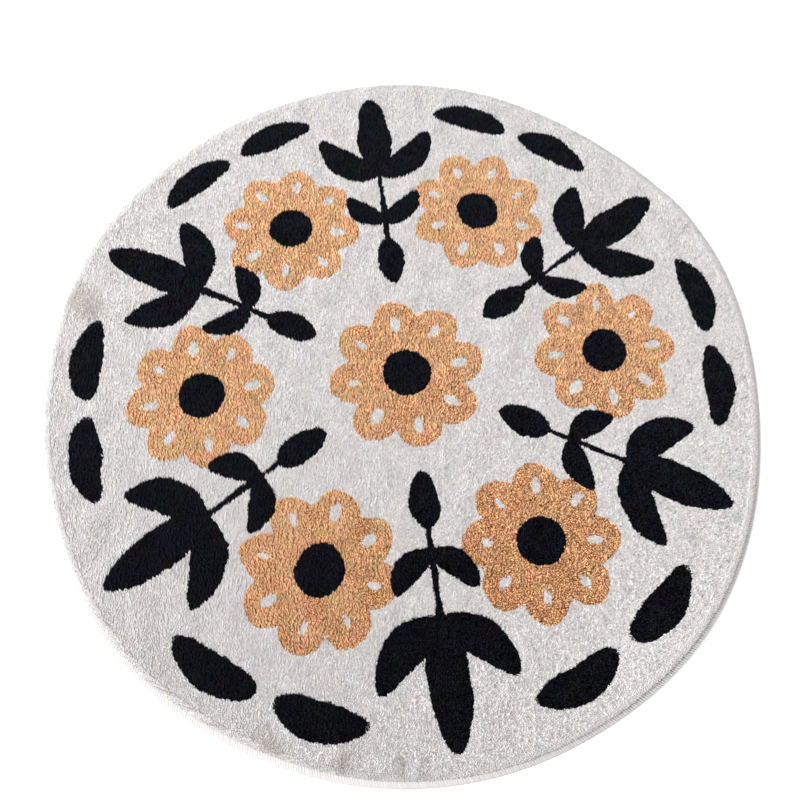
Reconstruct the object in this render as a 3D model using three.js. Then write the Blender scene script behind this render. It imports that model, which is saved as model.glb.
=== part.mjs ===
// A round short-pile rug with an overlocked rim, lying flat on a floor. Millimetres, +Z up.
// The origin is on the floor under the middle of the rug. Two pieces make it: the pile cloth,
// a disc of woven backing with its cut pile, and the yarn sewn over the cloth's bare rim.

import * as THREE from "three";

// Driving dimensions, in millimetres.
const rugRadius = 500;
const pileTop = 10;
const backingThickness = 2;
const edgingWidth = 11;
const edgingHeight = 5;
const yarnUnder = 1;
const yarnOutside = 2.7;
const sewingGap = 0.3;
const shoulderRadius = 5;
const undersideRise = 3;

// How finely the round shapes are stepped.
const rimSteps = 108;
const shoulderSteps = 3;

// Rows of vertices over the body of the cloth, as shares of the distance out to the shoulder.
const bodyRows = [0.16, 0.32, 0.44, 0.54, 0.63, 0.71, 0.78, 0.84, 0.9, 0.95];

// The rim isn't quite round: each row adds waves of so many a turn, with this reach and start.
const rimWaves = [
  { aTurn: 2, reach: 1.1, startDeg: 169 },
  { aTurn: 3, reach: 1.2, startDeg: 103 },
  { aTurn: 4, reach: 1.2, startDeg: 178 },
  { aTurn: 5, reach: 2.1, startDeg: 125 },
  { aTurn: 6, reach: 1.5, startDeg: -166 },
  { aTurn: 7, reach: 1.1, startDeg: -176 },
];

// Stretches of the rim that lift off the floor, and how far in from the rim the lift runs.
const rimLifts = [
  { atDeg: 158, spreadDeg: 24, lift: 3.5, runsIn: 120 },
  { atDeg: 196, spreadDeg: 15, lift: 2, runsIn: 80 },
  { atDeg: 232, spreadDeg: 16, lift: 3.5, runsIn: 95 },
  { atDeg: 266, spreadDeg: 13, lift: 2.2, runsIn: 80 },
  { atDeg: 318, spreadDeg: 20, lift: 3, runsIn: 100 },
  { atDeg: 33, spreadDeg: 22, lift: 2.6, runsIn: 110 },
];

// Low folds left by packing, each a soft ridge along a line through its middle.
const folds = [
  { x: 140, y: 105, alongDeg: 96, halfLength: 120, halfWidth: 46, rise: 2.4 },
  { x: 188, y: -238, alongDeg: 113, halfLength: 130, halfWidth: 50, rise: 3 },
  { x: 384, y: 292, alongDeg: 55, halfLength: 90, halfWidth: 48, rise: 2.2 },
  { x: -300, y: -150, alongDeg: 20, halfLength: 120, halfWidth: 55, rise: 1.8 },
  { x: -215, y: 255, alongDeg: 140, halfLength: 110, halfWidth: 55, rise: 1.6 },
];

// Shallow hollows where the pile is pressed down, in the top face only.
const hollows = [
  { x: -448, y: 82, radius: 62, depth: 1.6 },
  { x: -124, y: -455, radius: 48, depth: 1.8 },
  { x: 300, y: -330, radius: 70, depth: 1 },
];

const radians = THREE.MathUtils.degToRad;

// A smooth bump: 1 in the middle, 0 from a distance of 1 outwards.
function bell(distance) {
  const t = Math.min(Math.abs(distance), 1);
  return Math.cos((Math.PI * t) / 2) ** 2;
}

// Radius of the rim in one direction from the middle of the rug.
function rimRadius(angle) {
  return rimWaves.reduce(
    (radius, wave) => radius + wave.reach * Math.cos(wave.aTurn * angle - radians(wave.startDeg)),
    rugRadius,
  );
}

// How far the whole cloth stands off the floor at a place.
function liftAt(x, y) {
  const angle = Math.atan2(y, x);
  const fromRim = rimRadius(angle) - Math.hypot(x, y);
  let lift = 0;
  for (const row of rimLifts) {
    const turn = Math.atan2(Math.sin(angle - radians(row.atDeg)), Math.cos(angle - radians(row.atDeg)));
    const nearRim = Math.max(1 - Math.max(fromRim, 0) / row.runsIn, 0);
    lift += row.lift * bell(turn / radians(row.spreadDeg)) * nearRim ** 2;
  }
  for (const row of folds) {
    const along = radians(row.alongDeg);
    const u = (x - row.x) * Math.cos(along) + (y - row.y) * Math.sin(along);
    const v = (y - row.y) * Math.cos(along) - (x - row.x) * Math.sin(along);
    lift += row.rise * bell(u / row.halfLength) * bell(v / row.halfWidth);
  }
  return lift;
}

// How far the pile's top face is pressed down at a place.
function pressAt(x, y) {
  return hollows.reduce(
    (press, row) => press + row.depth * bell(Math.hypot(x - row.x, y - row.y) / row.radius),
    0,
  );
}

// The waves move the middle of the rug's outline a little: this puts it back over the origin.
function outlineMiddle() {
  const box = new THREE.Box2();
  const point = new THREE.Vector2();
  for (let step = 0; step < rimSteps; step++) {
    const angle = (step / rimSteps) * 2 * Math.PI;
    const radius = rimRadius(angle);
    box.expandByPoint(point.set(radius * Math.cos(angle), radius * Math.sin(angle)));
  }
  return box.getCenter(new THREE.Vector2());
}

const middle = outlineMiddle();

// A profile of [radius, height] points is turned round the rug's axis, then laid on the floor:
// drawn out to the uneven rim, lifted with the folds and pressed down in the hollows.
function layRound(profile) {
  const points = profile.map(([radius, height]) => new THREE.Vector2(radius, height));
  const geometry = new THREE.LatheGeometry(points, rimSteps);
  geometry.rotateX(Math.PI / 2);
  geometry.deleteAttribute("normal");
  geometry.deleteAttribute("uv");
  const place = geometry.getAttribute("position");
  for (let i = 0; i < place.count; i++) {
    const height = place.getZ(i);
    const grow = rimRadius(Math.atan2(place.getY(i), place.getX(i))) / rugRadius;
    const x = place.getX(i) * grow;
    const y = place.getY(i) * grow;
    const inPile = Math.max(height - edgingHeight, 0) / (pileTop - edgingHeight);
    place.setXYZ(i, x - middle.x, y - middle.y, height + liftAt(x, y) - inPile * pressAt(x, y));
  }
  return geometry;
}

// Heights and radii of the joint between cloth and edging.
const tongueBottom = yarnUnder + sewingGap;
const tongueTop = tongueBottom + backingThickness;
const tongueReach = rugRadius - yarnOutside - sewingGap;
const edgingInside = rugRadius - edgingWidth;
const pileWall = edgingInside - sewingGap;
const shoulderInside = pileWall - shoulderRadius;

// The pile cloth: its top, the rounded shoulder, the bare tongue of backing, and its underside.
function pileClothProfile() {
  const top = bodyRows.map((share) => [share * shoulderInside, pileTop]);
  const shoulder = [];
  for (let step = 0; step <= shoulderSteps; step++) {
    const turn = (step / shoulderSteps) * (Math.PI / 2);
    shoulder.push([
      shoulderInside + shoulderRadius * Math.sin(turn),
      pileTop - shoulderRadius * (1 - Math.cos(turn)),
    ]);
  }
  const tongue = [
    [pileWall, tongueTop],
    [tongueReach, tongueTop],
    [tongueReach, tongueBottom],
    [pileWall - sewingGap, tongueBottom],
    [pileWall - sewingGap - undersideRise, 0],
  ];
  const underside = bodyRows.map((share) => [share * shoulderInside, 0]).reverse();
  return [[0, pileTop], ...top, ...shoulder, ...tongue, ...underside, [0, 0]].reverse();
}

// The edging: one closed section that wraps over, round and under the tongue of backing.
function edgingProfile() {
  const overTongue = tongueTop + sewingGap;
  const grooveEnd = rugRadius - yarnOutside;
  return [
    [edgingInside, 0.3],
    [edgingInside + 1, 0],
    [rugRadius - 2.4, 0],
    [rugRadius - 0.6, 0.9],
    [rugRadius, 2.4],
    [rugRadius - 0.5, 4],
    [rugRadius - 2.4, edgingHeight],
    [edgingInside + 2.6, edgingHeight],
    [edgingInside, overTongue + 0.7],
    [edgingInside, overTongue],
    [grooveEnd, overTongue],
    [grooveEnd, yarnUnder],
    [edgingInside, yarnUnder],
    [edgingInside, 0.3],
  ];
}

function addPiece(group, name, profile, material) {
  const mesh = new THREE.Mesh(layRound(profile), material);
  mesh.name = name;
  group.add(mesh);
}

const offWhitePile = new THREE.MeshStandardMaterial({ color: 0xd7d2d1, roughness: 1, metalness: 0 });
const edgingYarn = new THREE.MeshStandardMaterial({ color: 0xddd4d0, roughness: 0.9, metalness: 0 });

const rug = new THREE.Group();
addPiece(rug, "pile_cloth", pileClothProfile(), offWhitePile);
addPiece(rug, "overlock_edging", edgingProfile(), edgingYarn);

export default rug;
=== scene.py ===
"""A round short-pile rug with an overlocked rim, laid on a studio floor.

Everything is in metres. The rug lies on z = 0 with its middle at the origin, +Z is up. It is made
as the real one is: a woven cloth, cut pile in three colours planted in it tuft by tuft, and yarn
sewn over its bare rim.
"""

import math

import bpy
import numpy as np
from bpy.props import FloatProperty, FloatVectorProperty, IntProperty, PointerProperty
from mathutils import Matrix, Vector


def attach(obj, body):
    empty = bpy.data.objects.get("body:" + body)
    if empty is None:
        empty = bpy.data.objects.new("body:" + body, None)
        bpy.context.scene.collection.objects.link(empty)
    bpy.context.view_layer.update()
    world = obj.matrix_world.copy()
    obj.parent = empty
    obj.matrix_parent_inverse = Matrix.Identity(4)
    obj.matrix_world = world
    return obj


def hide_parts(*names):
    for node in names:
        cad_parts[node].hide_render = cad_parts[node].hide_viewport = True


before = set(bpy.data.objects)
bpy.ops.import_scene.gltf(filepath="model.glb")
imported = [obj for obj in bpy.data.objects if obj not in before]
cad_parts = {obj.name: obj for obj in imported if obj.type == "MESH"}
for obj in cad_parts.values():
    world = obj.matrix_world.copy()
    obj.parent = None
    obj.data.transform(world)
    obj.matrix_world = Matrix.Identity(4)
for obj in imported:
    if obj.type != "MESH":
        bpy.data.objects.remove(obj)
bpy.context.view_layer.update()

bl_info = {
    "name": "Round pile rug",
    "version": (1, 0, 0),
    "blender": (4, 5, 0),
    "location": "3D View > Sidebar > Rug",
    "description": "Makes a round short-pile rug with a flower and leaf design",
    "category": "Add Mesh",
}

# Driving dimensions, the same as the rug's construction has.
RUG_RADIUS = 0.5
PILE_TOP = 0.010
BACKING_THICKNESS = 0.002
EDGING_WIDTH = 0.011
EDGING_HEIGHT = 0.005
YARN_UNDER = 0.001
YARN_OUTSIDE = 0.0027
SEWING_GAP = 0.0003
SHOULDER_RADIUS = 0.005
UNDERSIDE_RISE = 0.003

# Heights and radii of the joint between cloth and edging.
TONGUE_BOTTOM = YARN_UNDER + SEWING_GAP
TONGUE_TOP = TONGUE_BOTTOM + BACKING_THICKNESS
TONGUE_REACH = RUG_RADIUS - YARN_OUTSIDE - SEWING_GAP
EDGING_INSIDE = RUG_RADIUS - EDGING_WIDTH
PILE_WALL = EDGING_INSIDE - SEWING_GAP
SHOULDER_INSIDE = PILE_WALL - SHOULDER_RADIUS

# The pile is dense wool up to here, and separate tufts above it, rooted a little way down in it.
GROUND_TOP = 0.0066
ROOT_DEPTH = 0.0006
TUFT_HEIGHT = PILE_TOP - GROUND_TOP + ROOT_DEPTH
LEAST_HEIGHT = 0.001

# At the rim the dense part hangs over the edging as a soft lip, which reaches further out on the far
# side, where the nap runs to, and is undercut down to the edging.
LIP_REACH = 0.0078
LIP_NAP_REACH = 0.0020
LIP_NAP_DEG = 78
LIP_DROP = 0.0009
LIP_UNDERCUT = 0.0034

# Face corners of one tuft: three sides and its root, three corners each.
TUFT_CORNERS = 12

# Steps round the rug, of its construction and of the cloth and the edging's core here.
RIM_STEPS = 108
ROUND_STEPS = 3 * RIM_STEPS

# The rim isn't quite round: each row adds waves of so many a turn.
RIM_WAVES = [
    {"a_turn": 2, "reach": 0.0011, "start_deg": 169},
    {"a_turn": 3, "reach": 0.0012, "start_deg": 103},
    {"a_turn": 4, "reach": 0.0012, "start_deg": 178},
    {"a_turn": 5, "reach": 0.0021, "start_deg": 125},
    {"a_turn": 6, "reach": 0.0015, "start_deg": -166},
    {"a_turn": 7, "reach": 0.0011, "start_deg": -176},
]

# Stretches of the rim that lift off the floor, and how far in from the rim the lift runs.
RIM_LIFTS = [
    {"at_deg": 158, "spread_deg": 24, "lift": 0.0035, "runs_in": 0.120},
    {"at_deg": 196, "spread_deg": 15, "lift": 0.0020, "runs_in": 0.080},
    {"at_deg": 232, "spread_deg": 16, "lift": 0.0035, "runs_in": 0.095},
    {"at_deg": 266, "spread_deg": 13, "lift": 0.0022, "runs_in": 0.080},
    {"at_deg": 318, "spread_deg": 20, "lift": 0.0030, "runs_in": 0.100},
    {"at_deg": 33, "spread_deg": 22, "lift": 0.0026, "runs_in": 0.110},
]

# Low folds left by packing, each a soft ridge along a line through its middle.
FOLDS = [
    {"x": 0.140, "y": 0.105, "along_deg": 96, "half_length": 0.120, "half_width": 0.046, "rise": 0.0024},
    {"x": 0.188, "y": -0.238, "along_deg": 113, "half_length": 0.130, "half_width": 0.050, "rise": 0.0030},
    {"x": 0.384, "y": 0.292, "along_deg": 55, "half_length": 0.090, "half_width": 0.048, "rise": 0.0022},
    {"x": -0.300, "y": -0.150, "along_deg": 20, "half_length": 0.120, "half_width": 0.055, "rise": 0.0018},
    {"x": -0.215, "y": 0.255, "along_deg": 140, "half_length": 0.110, "half_width": 0.055, "rise": 0.0016},
]

# Fine creases in the pile itself: ridges where tips stand proud, grooves where they part.
CREASES = [
    {"x": 0.128, "y": 0.118, "along_deg": -75, "half_length": 0.040, "half_width": 0.006, "rise": 0.0015},
    {"x": 0.142, "y": 0.114, "along_deg": -100, "half_length": 0.020, "half_width": 0.008, "rise": -0.0016},
    {"x": 0.176, "y": -0.194, "along_deg": -44, "half_length": 0.024, "half_width": 0.005, "rise": 0.0015},
    {"x": 0.171, "y": -0.201, "along_deg": -50, "half_length": 0.016, "half_width": 0.005, "rise": -0.0013},
    {"x": 0.145, "y": -0.214, "along_deg": -67, "half_length": 0.016, "half_width": 0.005, "rise": 0.0010},
    {"x": 0.155, "y": -0.216, "along_deg": -80, "half_length": 0.022, "half_width": 0.006, "rise": -0.0013},
    {"x": 0.132, "y": -0.254, "along_deg": -77, "half_length": 0.017, "half_width": 0.005, "rise": 0.0010},
    {"x": 0.402, "y": 0.272, "along_deg": 43, "half_length": 0.018, "half_width": 0.005, "rise": 0.0012},
    {"x": 0.374, "y": 0.298, "along_deg": -74, "half_length": 0.015, "half_width": 0.005, "rise": 0.0010},
    {"x": 0.328, "y": -0.186, "along_deg": -56, "half_length": 0.012, "half_width": 0.004, "rise": 0.0009},
]

# Shallow hollows where the pile is pressed down.
HOLLOWS = [
    {"x": -0.448, "y": 0.082, "radius": 0.062, "depth": 0.0016},
    {"x": -0.124, "y": -0.455, "radius": 0.048, "depth": 0.0018},
    {"x": 0.300, "y": -0.330, "radius": 0.070, "depth": 0.0010},
]

# Painted shade and smudges on the off-white pile: the first two rows are painted shade in the hollows at the
# left and lower left rim, the rest are smudges towards the bottom rim.
PAINTED_SHADE_AND_SMUDGES = [
    {"x": -0.466, "y": 0.060, "along_deg": -27, "half_length": 0.060, "half_width": 0.036, "strength": 0.55},
    {"x": -0.120, "y": -0.462, "along_deg": -35, "half_length": 0.036, "half_width": 0.019, "strength": 0.65},
    {"x": -0.250, "y": -0.380, "along_deg": 60, "half_length": 0.050, "half_width": 0.020, "strength": 0.15},
    {"x": -0.036, "y": -0.477, "along_deg": 80, "half_length": 0.022, "half_width": 0.014, "strength": 0.55},
    {"x": 0.031, "y": -0.473, "along_deg": 95, "half_length": 0.022, "half_width": 0.010, "strength": 0.60},
    {"x": 0.058, "y": -0.474, "along_deg": 85, "half_length": 0.020, "half_width": 0.011, "strength": 0.50},
]

# Stretches of the edging whose yarn is painted darker: painted shade on the side of the rim away from the
# lamp.
YARN_PAINTED_SHADE = [
    {"at_deg": 314, "spread_deg": 64, "strength": 0.58},
    {"at_deg": 8, "spread_deg": 60, "strength": 0.16},
]

# Sides of the rug on which the pile differs: how much flatter it lies there, and how much more its
# tufts differ in shade. Both come to their full share at this distance from the middle.
PILE_SIDES = [
    {"at_deg": 90, "spread_deg": 65, "flatter": 0.3, "contrast": -0.3},
    {"at_deg": 222, "spread_deg": 75, "flatter": 0.55, "contrast": -0.6},
    {"at_deg": 322, "spread_deg": 80, "flatter": -0.45, "contrast": 0.4},
]
PILE_SIDES_FROM = 0.30

# The design: flowers in rings, and black leaves in six like groups between and outside them.
DESIGN_TURN_DEG = 12
GROUPS = 6
FLOWER_RINGS = [
    {"count": 1, "ring": 0.0, "size": 0.108, "petals": 8, "first_petal_deg": 17, "petal_step_deg": 0},
    {"count": 6, "ring": 0.283, "size": 0.102, "petals": 8, "first_petal_deg": 12, "petal_step_deg": 17},
]

# Parts of a flower, as shares of its radius: past its reach it isn't looked for. Petal fullness is
# how much of the way to its neighbours each petal fills.
FLOWER_EYE_SHARE = 0.31
FLOWER_BODY_SHARE = 0.6
PETAL_HALF_LENGTH_SHARE = 0.36
SEED_RING_SHARE = 0.69
SEED_LENGTH_SHARE = 0.10
SEED_WIDTH_SHARE = 0.055
FLOWER_REACH_SHARE = 1.2
PETAL_FULLNESS = 0.78

# Leaves that come in pairs, one on each side of a line from the middle, which runs through a flower
# or between two: where the foot is, how far round from that line, and how far turned from it.
LEAF_PAIRS = [
    {
        "between": False, "ring": 0.438, "round_deg": 1.5, "turn_deg": 99,
        "length": 0.118, "width": 0.044, "bend": -0.07,
    },
    {
        "between": True, "ring": 0.322, "round_deg": 0, "turn_deg": 50,
        "length": 0.112, "width": 0.046, "bend": 0.10,
    },
    {
        "between": True, "ring": 0.240, "round_deg": 0, "turn_deg": 48,
        "length": 0.072, "width": 0.034, "bend": 0.10,
    },
]
LONE_LEAVES = [
    {"ring": 0.322, "turn_deg": 0, "length": 0.146, "width": 0.052},
    {"ring": 0.212, "turn_deg": 180, "length": 0.074, "width": 0.040},
]
STEM_FROM = 0.205
STEM_TO = 0.330
STEM_WIDTH = 0.008

# Below 1, a leaf is widest nearer its foot. Its sides slant, so an edge is this much nearer than the
# distance straight across says.
LEAF_SWELL = 0.9
LEAF_SLANT = 0.9

# How far the line between two colours wanders, slowly for each colour and finely for both.
TAN_WANDER = 0.0010
BLACK_WANDER = 0.0007
FINE_WANDER = 0.0004

# The three yarns, in the order of their numbers in a tuft plan: the pieces that each comes in, as
# equal sectors, how much more its tufts differ in shade than the off-white ones do, its mottling and
# its shine, and whether the painted shade in the hollows and the smudges show on it.
WHITE, TAN, BLACK = 0, 1, 2
YARNS = [
    {"colour": "white", "pieces": 3, "contrast": 1.0, "mottle": 0.10, "shine": 0.10, "shaded_and_smudged": True},
    {"colour": "tan", "pieces": 1, "contrast": 1.95, "mottle": 0.35, "shine": 0.10, "shaded_and_smudged": True},
    {"colour": "black", "pieces": 2, "contrast": 3.1, "mottle": 1.1, "shine": 0.02, "shaded_and_smudged": False},
]

# How unevenly the tufts on the flat stand. The first is a share of their pitch, the next two are
# shares of the nap's lean, the next three of the unevenness, and the last of the tone spread.
TUFT_STRAY = 0.16
NAP_WAVE_ALONG = 0.22
NAP_WAVE_ACROSS = 0.12
CLUMP_RISE = 0.5
TUFT_RISE = 0.35
MEAN_DROP = 0.5
CLUMP_TONE = 0.4

# How much more the tips stray in a crease, and the height of crease at which they do so in full.
CREASE_RUFFLE = 3
FULL_CREASE = 0.001

# The tufts on the lip. They stand closer than on the flat, and fan out by a share of the lip's own
# turn. Their length is a share of a tuft's: so much, so much more outside, and waves and stray.
LIP_ROWS = 10
LIP_ROW_OVERLAP = 0.1
LIP_PITCH_SHARE = 0.9
LIP_FAN_SHARE = 0.36
LIP_FAN_STRAY = 0.12
LIP_LENGTH_SHARE = 0.84
LIP_LONGER_OUTSIDE = 0.11
LIP_LENGTH_WAVE = 0.05
LIP_LENGTH_STRAY = 0.06
LIP_ASIDE_WAVE = 0.0006
# Painted highlight: the lip's tufts are made this much paler along the rim's shoulder.
LIP_PAINTED_HIGHLIGHT = 0.06
LIP_TONE_SHARE = 0.45

# A stitch starts inside the band's top and ends inside its underside, in degrees round its middle.
# Power 2 would make it an ellipse, and more makes it squarer. Its yarn is fuller at the outside.
STITCH_FROM_DEG = 158
STITCH_TO_DEG = -150
STITCH_POINTS = 9
STITCH_POWER = 2.8
YARN_SIDES = 4
FULLER_OUTSIDE = 0.5

# The stitches' line runs so many yarn radii inside the band's top and bottom. Their places stray by
# a share of the pitch, their turn in radians, and their tone.
STITCH_INSET = 1.15
STITCH_STRAY = 0.14
STITCH_TURN_STRAY = 0.06
STITCH_TONE_STRAY = 0.05

# How far the edging's core is sunk inside its stitches, and how dark it is painted between them: painted
# shade of the stitches over it.
CORE_SUNK = 0.0009
CORE_PAINTED_SHADE = 0.72

# The cloth's bake map is a square with two discs on its diagonal: their radius, and the edge kept.
# Each tuft has a small square of its piece's map, with this share of it kept free at each side.
MAP_EDGE = 0.004
DISC_ON_MAP = 1 / (2 + math.sqrt(2)) - MAP_EDGE
CELL_EDGE = 0.08


# Sizes and colours that a user would change.


class RugPileSettings(bpy.types.PropertyGroup):
    pitch: FloatProperty(
        name="Tuft pitch", description="Distance between neighbouring tufts", default=0.0021, unit="LENGTH"
    )
    tuft_width: FloatProperty(
        name="Tuft width", description="Radius of a tuft at its root", default=0.0015, unit="LENGTH"
    )
    clump_across: FloatProperty(
        name="Clump width", description="Width of the clumps in which tips lean together",
        default=0.0050, unit="LENGTH",
    )
    clump_along: FloatProperty(
        name="Clump length", description="Length of the clumps, along the nap",
        default=0.0060, unit="LENGTH",
    )
    pull_across: FloatProperty(
        name="Pull across", description="How far tips lean to the line of their clump",
        default=0.4, subtype="FACTOR", min=0, max=1,
    )
    pull_along: FloatProperty(
        name="Pull along", description="How far tips lean to the middle of that line",
        default=0.10, subtype="FACTOR", min=0, max=1,
    )
    nap_deg: FloatProperty(
        name="Nap", description="Direction in which the pile leans, in degrees from +X", default=95.0
    )
    nap_lean: FloatProperty(
        name="Nap lean", description="How far the tips lean along the nap", default=0.0020, unit="LENGTH"
    )
    rim_brush: FloatVectorProperty(
        name="Rim brush", description="How far the tips on the rim are brushed to one side",
        size=2, default=(0.0004, 0.0), unit="LENGTH",
    )
    scatter: FloatProperty(
        name="Scatter", description="How far tips stray from their place", default=0.0003, unit="LENGTH"
    )
    unevenness: FloatProperty(
        name="Unevenness", description="How much the tips differ in height", default=0.0013, unit="LENGTH"
    )
    tone_spread: FloatProperty(
        name="Tone spread", description="How much the off-white tufts differ in shade",
        default=0.13, subtype="FACTOR", min=0, max=1,
    )
    # How far up a tuft the painted shade of its root reaches.
    tip_share: FloatProperty(
        name="Tip share", description="How soon a tuft takes the colour of its tip, 1 evenly",
        default=0.6, min=0.1, max=2,
    )
    softness: FloatProperty(
        name="Softness", description="How little the sides of one tuft differ in light",
        default=0.30, subtype="FACTOR", min=0, max=1,
    )
    seed: IntProperty(name="Seed", description="Number that fixes the pile's scatter", default=7)


class RugColourSettings(bpy.types.PropertyGroup):
    # The root colours are the tip colours made darker and deeper: painted shade down between the tufts, which
    # the dense pile below them also takes.
    white_root: FloatVectorProperty(
        name="Off-white root", description="Off-white pile at its root", size=3, subtype="COLOR",
        default=(0.64, 0.618, 0.615), min=0, max=1,
    )
    white_tip: FloatVectorProperty(
        name="Off-white tip", description="Off-white pile at its tip", size=3, subtype="COLOR",
        default=(0.722, 0.697, 0.695), min=0, max=1,
    )
    tan_root: FloatVectorProperty(
        name="Tan root", description="Tan pile at its root", size=3, subtype="COLOR",
        default=(0.25, 0.060, 0.003), min=0, max=1,
    )
    tan_tip: FloatVectorProperty(
        name="Tan tip", description="Tan pile at its tip", size=3, subtype="COLOR",
        default=(0.95, 0.625, 0.365), min=0, max=1,
    )
    black_root: FloatVectorProperty(
        name="Black root", description="Black pile at its root", size=3, subtype="COLOR",
        default=(0.0005, 0.0005, 0.001), min=0, max=1,
    )
    black_tip: FloatVectorProperty(
        name="Black tip", description="Black pile at its tip", size=3, subtype="COLOR",
        default=(0.0138, 0.0146, 0.0205), min=0, max=1,
    )
    # Painted shade in two hollows by the rim, and the smudges, take this colour.
    painted_shade_and_smudge: FloatVectorProperty(
        name="Painted Shade And Smudge", description="Colour of the smudges on the off-white pile", size=3, subtype="COLOR",
        default=(0.40, 0.345, 0.305), min=0, max=1,
    )
    edging: FloatVectorProperty(
        name="Edging yarn", description="Yarn sewn over the rim", size=3, subtype="COLOR",
        default=(0.79, 0.743, 0.730), min=0, max=1,
    )
    backing: FloatVectorProperty(
        name="Woven back", description="Cloth as it shows underneath", size=3, subtype="COLOR",
        default=(0.62, 0.585, 0.54), min=0, max=1,
    )
    floor: FloatVectorProperty(
        name="Floor", description="Studio floor", size=3, subtype="COLOR",
        default=(0.90, 0.90, 0.895), min=0, max=1,
    )


class RugEdgingSettings(bpy.types.PropertyGroup):
    stitch_pitch: FloatProperty(
        name="Stitch pitch", description="Distance between stitches round the rim",
        default=0.0032, unit="LENGTH",
    )
    yarn_radius: FloatProperty(
        name="Yarn radius", description="Half the thickness of the overlock yarn",
        default=0.00115, unit="LENGTH",
    )
    slant: FloatProperty(
        name="Slant", description="How far a stitch runs along the rim over its length",
        default=0.0095, unit="LENGTH",
    )
    seed: IntProperty(name="Seed", description="Number that fixes the stitches' scatter", default=11)


class RugStudioSettings(bpy.types.PropertyGroup):
    camera_rise_deg: FloatProperty(
        name="Camera rise", description="Height of the camera above the floor, in degrees",
        default=74.0,
    )
    camera_distance: FloatProperty(
        name="Camera distance", description="From the camera to what it looks at",
        default=0.753, unit="LENGTH",
    )
    camera_roll_deg: FloatProperty(
        name="Camera roll", description="Turn of the camera about its own line of sight, in degrees",
        default=4.88,
    )
    camera_aim: FloatVectorProperty(
        name="Camera aim", description="Place on the floor that the camera looks at",
        size=3, subtype="TRANSLATION", default=(-0.0034, -0.0382, 0.0),
    )
    lens_mm: FloatProperty(name="Lens", description="Focal length on a 36 mm sensor", default=24.56)
    key_azimuth_deg: FloatProperty(
        name="Key side", description="Where the main light stands, in degrees from +X",
        default=178.0,
    )
    key_rise_deg: FloatProperty(
        name="Key rise", description="Height of the main light above the floor, in degrees",
        default=38.0,
    )
    key_distance: FloatProperty(
        name="Key distance", description="From the main light to the rug", default=6.0, unit="LENGTH"
    )
    key_size: FloatProperty(
        name="Key size", description="Width of the main light", default=2.4, unit="LENGTH"
    )
    key_power: FloatProperty(
        name="Key power", description="Power of the main light", default=485.0, unit="POWER"
    )
    sky_strength: FloatProperty(
        name="Sky", description="Strength of the light from all round", default=0.82
    )
    floor_glow: FloatProperty(
        name="Floor glow", description="Light that the floor gives off, which softens its shadows",
        default=0.25,
    )


class RugSettings(bpy.types.PropertyGroup):
    pile: PointerProperty(type=RugPileSettings)
    colours: PointerProperty(type=RugColourSettings)
    edging: PointerProperty(type=RugEdgingSettings)
    studio: PointerProperty(type=RugStudioSettings)


# How the rug lies.


def bell(distance):
    """A smooth bump: 1 in the middle, 0 from a distance of 1 outwards."""
    return np.cos(np.pi / 2 * np.minimum(np.abs(distance), 1)) ** 2


def side_bump(angle, row):
    """A bump over one side of the rug: row gives its direction and half its spread."""
    turn = angle - math.radians(row["at_deg"])
    turn = np.arctan2(np.sin(turn), np.cos(turn))
    return bell(turn / math.radians(row["spread_deg"]))


def line_bump(x, y, row):
    """A bump that is long one way, 1 in its middle: row gives its middle, direction and half sizes."""
    along = math.radians(row["along_deg"])
    u = (x - row["x"]) * math.cos(along) + (y - row["y"]) * math.sin(along)
    v = (y - row["y"]) * math.cos(along) - (x - row["x"]) * math.sin(along)
    return bell(u / row["half_length"]) * bell(v / row["half_width"])


def rim_radius(angle):
    radius = RUG_RADIUS + 0 * angle
    for row in RIM_WAVES:
        radius = radius + row["reach"] * np.cos(row["a_turn"] * angle - math.radians(row["start_deg"]))
    return radius


def lift_at(x, y):
    """How far the whole cloth stands off the floor."""
    angle = np.arctan2(y, x)
    from_rim = rim_radius(angle) - np.hypot(x, y)
    lift = 0 * x
    for row in RIM_LIFTS:
        near_rim = np.maximum(1 - np.maximum(from_rim, 0) / row["runs_in"], 0)
        lift = lift + row["lift"] * side_bump(angle, row) * near_rim**2
    for row in FOLDS:
        lift = lift + row["rise"] * line_bump(x, y, row)
    return lift


def press_at(x, y):
    """How far the tips of the pile are pressed down in the hollows."""
    press = 0 * x
    for row in HOLLOWS:
        press = press + row["depth"] * bell(np.hypot(x - row["x"], y - row["y"]) / row["radius"])
    return press


def crease_at(x, y):
    rise = 0 * x
    for row in CREASES:
        rise = rise + row["rise"] * line_bump(x, y, row)
    return rise


# Painted shade in two hollows by the rim, and smudges: how strongly each place takes them.
def painted_shade_and_smudge_at(x, y):
    strength = 0 * x
    for row in PAINTED_SHADE_AND_SMUDGES:
        strength = strength + row["strength"] * line_bump(x, y, row)
    return np.minimum(strength, 1)


def directions(steps):
    return np.arange(steps) / steps * 2 * np.pi


def outline_middle():
    """The waves move the middle of the outline a little: this is where it goes."""
    angle = directions(RIM_STEPS)
    x = rim_radius(angle) * np.cos(angle)
    y = rim_radius(angle) * np.sin(angle)
    return (x.min() + x.max()) / 2, (y.min() + y.max()) / 2


MIDDLE_X, MIDDLE_Y = outline_middle()


def spread_to_rim(x, y):
    """A place on the true circle, drawn out to the uneven rim."""
    grow = rim_radius(np.arctan2(y, x)) / RUG_RADIUS
    return x * grow, y * grow


def laid(x, y, height):
    """A place on the flat rug, as points on the rug as it lies."""
    x, y = spread_to_rim(x, y)
    in_pile = np.maximum(height - EDGING_HEIGHT, 0) / (PILE_TOP - EDGING_HEIGHT)
    z = height + lift_at(x, y) - in_pile * press_at(x, y)
    return np.stack([x - MIDDLE_X, y - MIDDLE_Y, z], axis=-1)


# The design. A reach is a distance to the edge of a motif, below 0 inside it.


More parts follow.
